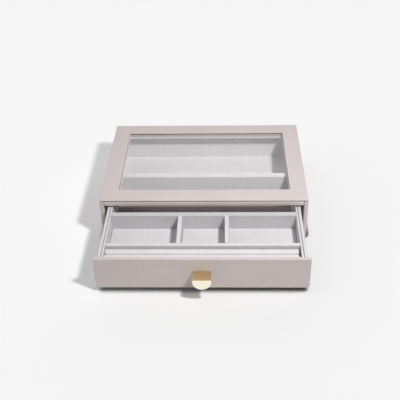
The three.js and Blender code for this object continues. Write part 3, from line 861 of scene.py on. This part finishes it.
def make_room():
    """The world: a plain white to what is seen or mirrored, the soft room to all matt surfaces."""
    world = bpy.data.worlds.new("room")
    bpy.context.scene.world = world
    world.use_nodes = True
    tree = world.node_tree
    tree.nodes.clear()
    way = add_node(tree, "ShaderNodeTexCoord").outputs["Generated"]
    level = EVEN_LEVEL
    for lobe_way, lobe_level in LOBES:
        cosine = vector_calc(tree, "DOT_PRODUCT", way, lobe_way, gives="Value")
        lobe = ramp(tree, cosine, LOBE_EDGE, LOBE_CORE, high=lobe_level, curve="SMOOTHSTEP")
        level = calc(tree, "ADD", lobe, level)
    room = add_node(tree, "ShaderNodeBackground", {"Color": (1, 1, 1, 1), "Strength": level})
    seen = add_node(tree, "ShaderNodeBackground", {"Color": WHITE, "Strength": 1.0})
    mix = add_node(tree, "ShaderNodeMixShader", {
        "Fac": seen_rays(tree), 1: room.outputs["Background"], 2: seen.outputs["Background"],
    })
    output = add_node(tree, "ShaderNodeOutputWorld")
    tree.links.new(mix.outputs["Shader"], output.inputs["Surface"])
    return world


print("made the", make_room().name, "with", len(LOBES), "lobes")

# %% [markdown]
# The table will have to know how bright the room alone makes it. A render could measure that, but the lobes are
# simple enough to be summed here, over a grid of directions above the table.

# %% How bright the room is
def room_at(way):
    """The room's light from one direction, as the shader gives it."""
    level = EVEN_LEVEL
    for lobe_way, lobe_level in LOBES:
        share = min(1.0, max(0.0, (way.dot(lobe_way) - LOBE_EDGE) / (LOBE_CORE - LOBE_EDGE)))
        level += lobe_level * share * share * (3 - 2 * share)
    return level


def room_level(rings=60, spokes=120):
    """How bright the room alone makes a white level surface, summed over the directions above it."""
    total = 0.0
    for ring in range(rings):
        tilt = (ring + 0.5) / rings * math.pi / 2
        for spoke in range(spokes):
            turn = (spoke + 0.5) / spokes * 2 * math.pi
            way = Vector((math.sin(tilt) * math.cos(turn), math.sin(tilt) * math.sin(turn), math.cos(tilt)))
            total += room_at(way) * math.cos(tilt) * math.sin(tilt)
    return total * (math.pi / 2 / rings) * (2 * math.pi / spokes) / math.pi


room = room_level()
print("the room alone makes white ground", round(room, 3), "bright")

# %% [markdown]
# The table is a wide white sheet, lit like the box, and its shadows are the box's own. Three things are made up
# where it is seen. The lamp gives less far away than near, and a glow adds what is missing, so the ground stays
# one even tone. A photograph's white ground has paler shadows than this lamp alone would give, so part of the
# ground's tone is a glow of its own. Both glows fade in the narrow gap right under the box.
# Last, a shadow is painted on the ground in that gap, where a shadow is darkest: its colour turns dark there.
# Ambient Occlusion finds the gap: it tells how much of the sky near by is open.

# %% The table
GROUND_SIZE = 4.0
OWN_GLOW = 0.16
GAP_REACH = 10 * MM
GAP_SAMPLES = 24
# How open the sky is where the ground is darkest and where it is clear, and the darkest painted shade.
TOUCH_CLOSE = 0.67
TOUCH_CLEAR = 0.8
TOUCH_SHADE = 0.04


def light_on_ground(tree, room):
    """What the lamp and the room give on white: two cosines and a squared distance for the lamp."""
    ray = vector_calc(tree, "SUBTRACT", LAMP_PLACE, object_place(tree))
    reach = vector_calc(tree, "LENGTH", ray, gives="Value")
    beam = calc(tree, "MAXIMUM", vector_calc(tree, "DOT_PRODUCT", ray, -LAMP_AIM, gives="Value"), 0.0)
    # Each cosine is a length along an axis over the reach, so the reach counts four times in all.
    lengths = calc(tree, "MULTIPLY", beam, LAMP_WATTS / math.pi ** 2 * LAMP_PLACE.z)
    lamp = calc(tree, "DIVIDE", lengths, calc(tree, "POWER", reach, 4.0))
    return calc(tree, "ADD", lamp, room)


def make_ground_material(room):
    """White ground that stays even, with soft shadows and a painted shadow in the gap under the box."""
    material, tree, shader = new_material("ground", {"Roughness": 0.9, "Specular IOR Level": 0.0})
    seen = seen_rays(tree)
    sky = add_node(tree, "ShaderNodeAmbientOcclusion", {"Distance": GAP_REACH}, samples=GAP_SAMPLES).outputs["AO"]
    # The glow fills the lit share of the tone up to white, and fades in the gap.
    lit = calc(tree, "MULTIPLY", light_on_ground(tree, room), 1 - OWN_GLOW)
    missing = calc(tree, "SUBTRACT", 1.0, lit, clamp=True)
    held = calc(tree, "MULTIPLY", missing, calc(tree, "POWER", sky, 2.0))
    glow = add_node(tree, "ShaderNodeEmission", {"Color": WHITE, "Strength": calc(tree, "MULTIPLY", seen, held)})
    # The lit colour gives way to that glow where it is seen, and a painted shadow darkens it where the box all but
    # touches it.
    keep = calc(tree, "SUBTRACT", 1.0, calc(tree, "MULTIPLY", seen, OWN_GLOW))
    painted_gap_shadow = ramp(tree, sky, TOUCH_CLOSE, TOUCH_CLEAR, low=TOUCH_SHADE, curve="SMOOTHSTEP")
    colour = dimmed(tree, WHITE[:3], calc(tree, "MULTIPLY", keep, painted_gap_shadow))
    tree.links.new(colour, shader.inputs["Base Color"])
    both = add_node(tree, "ShaderNodeAddShader", {0: shader.outputs["BSDF"], 1: glow.outputs["Emission"]})
    tree.links.new(both.outputs["Shader"], tree.nodes["Material Output"].inputs["Surface"])
    return material


def add_ground(material):
    """One square face, far wider than the picture."""
    mesh = bpy.data.meshes.new("ground")
    sheet = bmesh.new()
    bmesh.ops.create_grid(sheet, x_segments=1, y_segments=1, size=GROUND_SIZE)
    sheet.to_mesh(mesh)
    sheet.free()
    mesh.materials.append(material)
    ground = add_object("ground", mesh)
    return ground


ground = add_ground(make_ground_material(room))
bpy.context.scene.view_settings.view_transform = "Standard"
print(ground.name, "is", 2 * GROUND_SIZE, "m wide, and", round(LAMP_LEVEL + room, 3), "bright at the origin")
